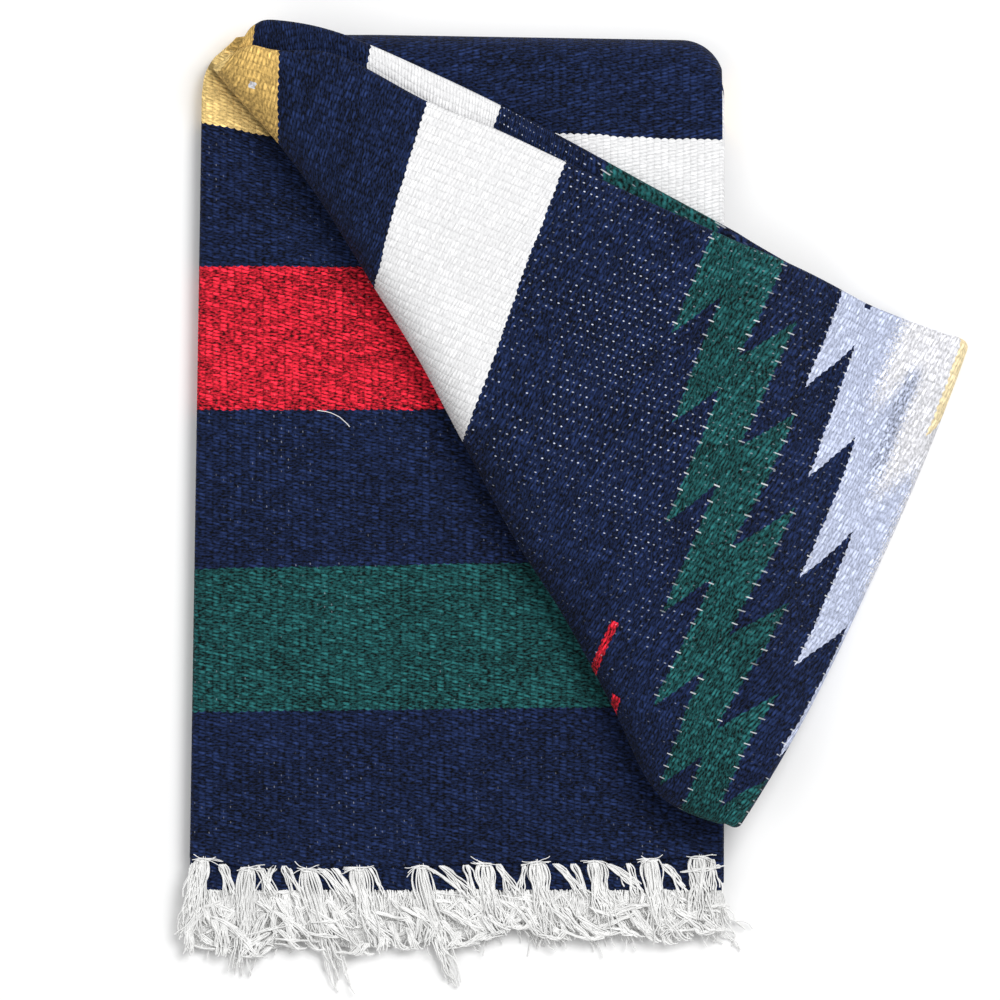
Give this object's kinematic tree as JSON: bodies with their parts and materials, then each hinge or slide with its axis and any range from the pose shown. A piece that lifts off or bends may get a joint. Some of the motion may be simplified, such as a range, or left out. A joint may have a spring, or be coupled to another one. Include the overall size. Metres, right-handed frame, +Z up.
{
  "type": "folded serape blanket",
  "caption": "Thick striped wool-blend blanket with knotted fringe, folded flat into a stack, its upper half turned back along a diagonal to show a serrated diamond.",
  "frame": {"origin": "centre of the folded stack's underside, on the floor", "axes": "+Z up; +Y from the fringed hem to the far fold; +X to the side that the turned-back flap reaches past"},
  "size_m": [0.4998, 0.6102, 0.0549],
  "materials": {
    "serape_weave": "ribbed weave, matte, striped across the warp",
    "diamond_weave": "ribbed weave, matte, with a serrated diamond",
    "fringe_yarn": "loose cotton warp yarn, matte"
  },
  "bodies": {
    "root": {"lower_layers": "serape_weave", "front_panel": "serape_weave", "upper_layers": "serape_weave", "back_panel": "serape_weave", "flap_face": "diamond_weave", "flap_back": "serape_weave", "flap_layers": "serape_weave", "fringe_front": "fringe_yarn", "fringe_second": "fringe_yarn", "fringe_lower": "fringe_yarn"}
  },
  "joints": []
}
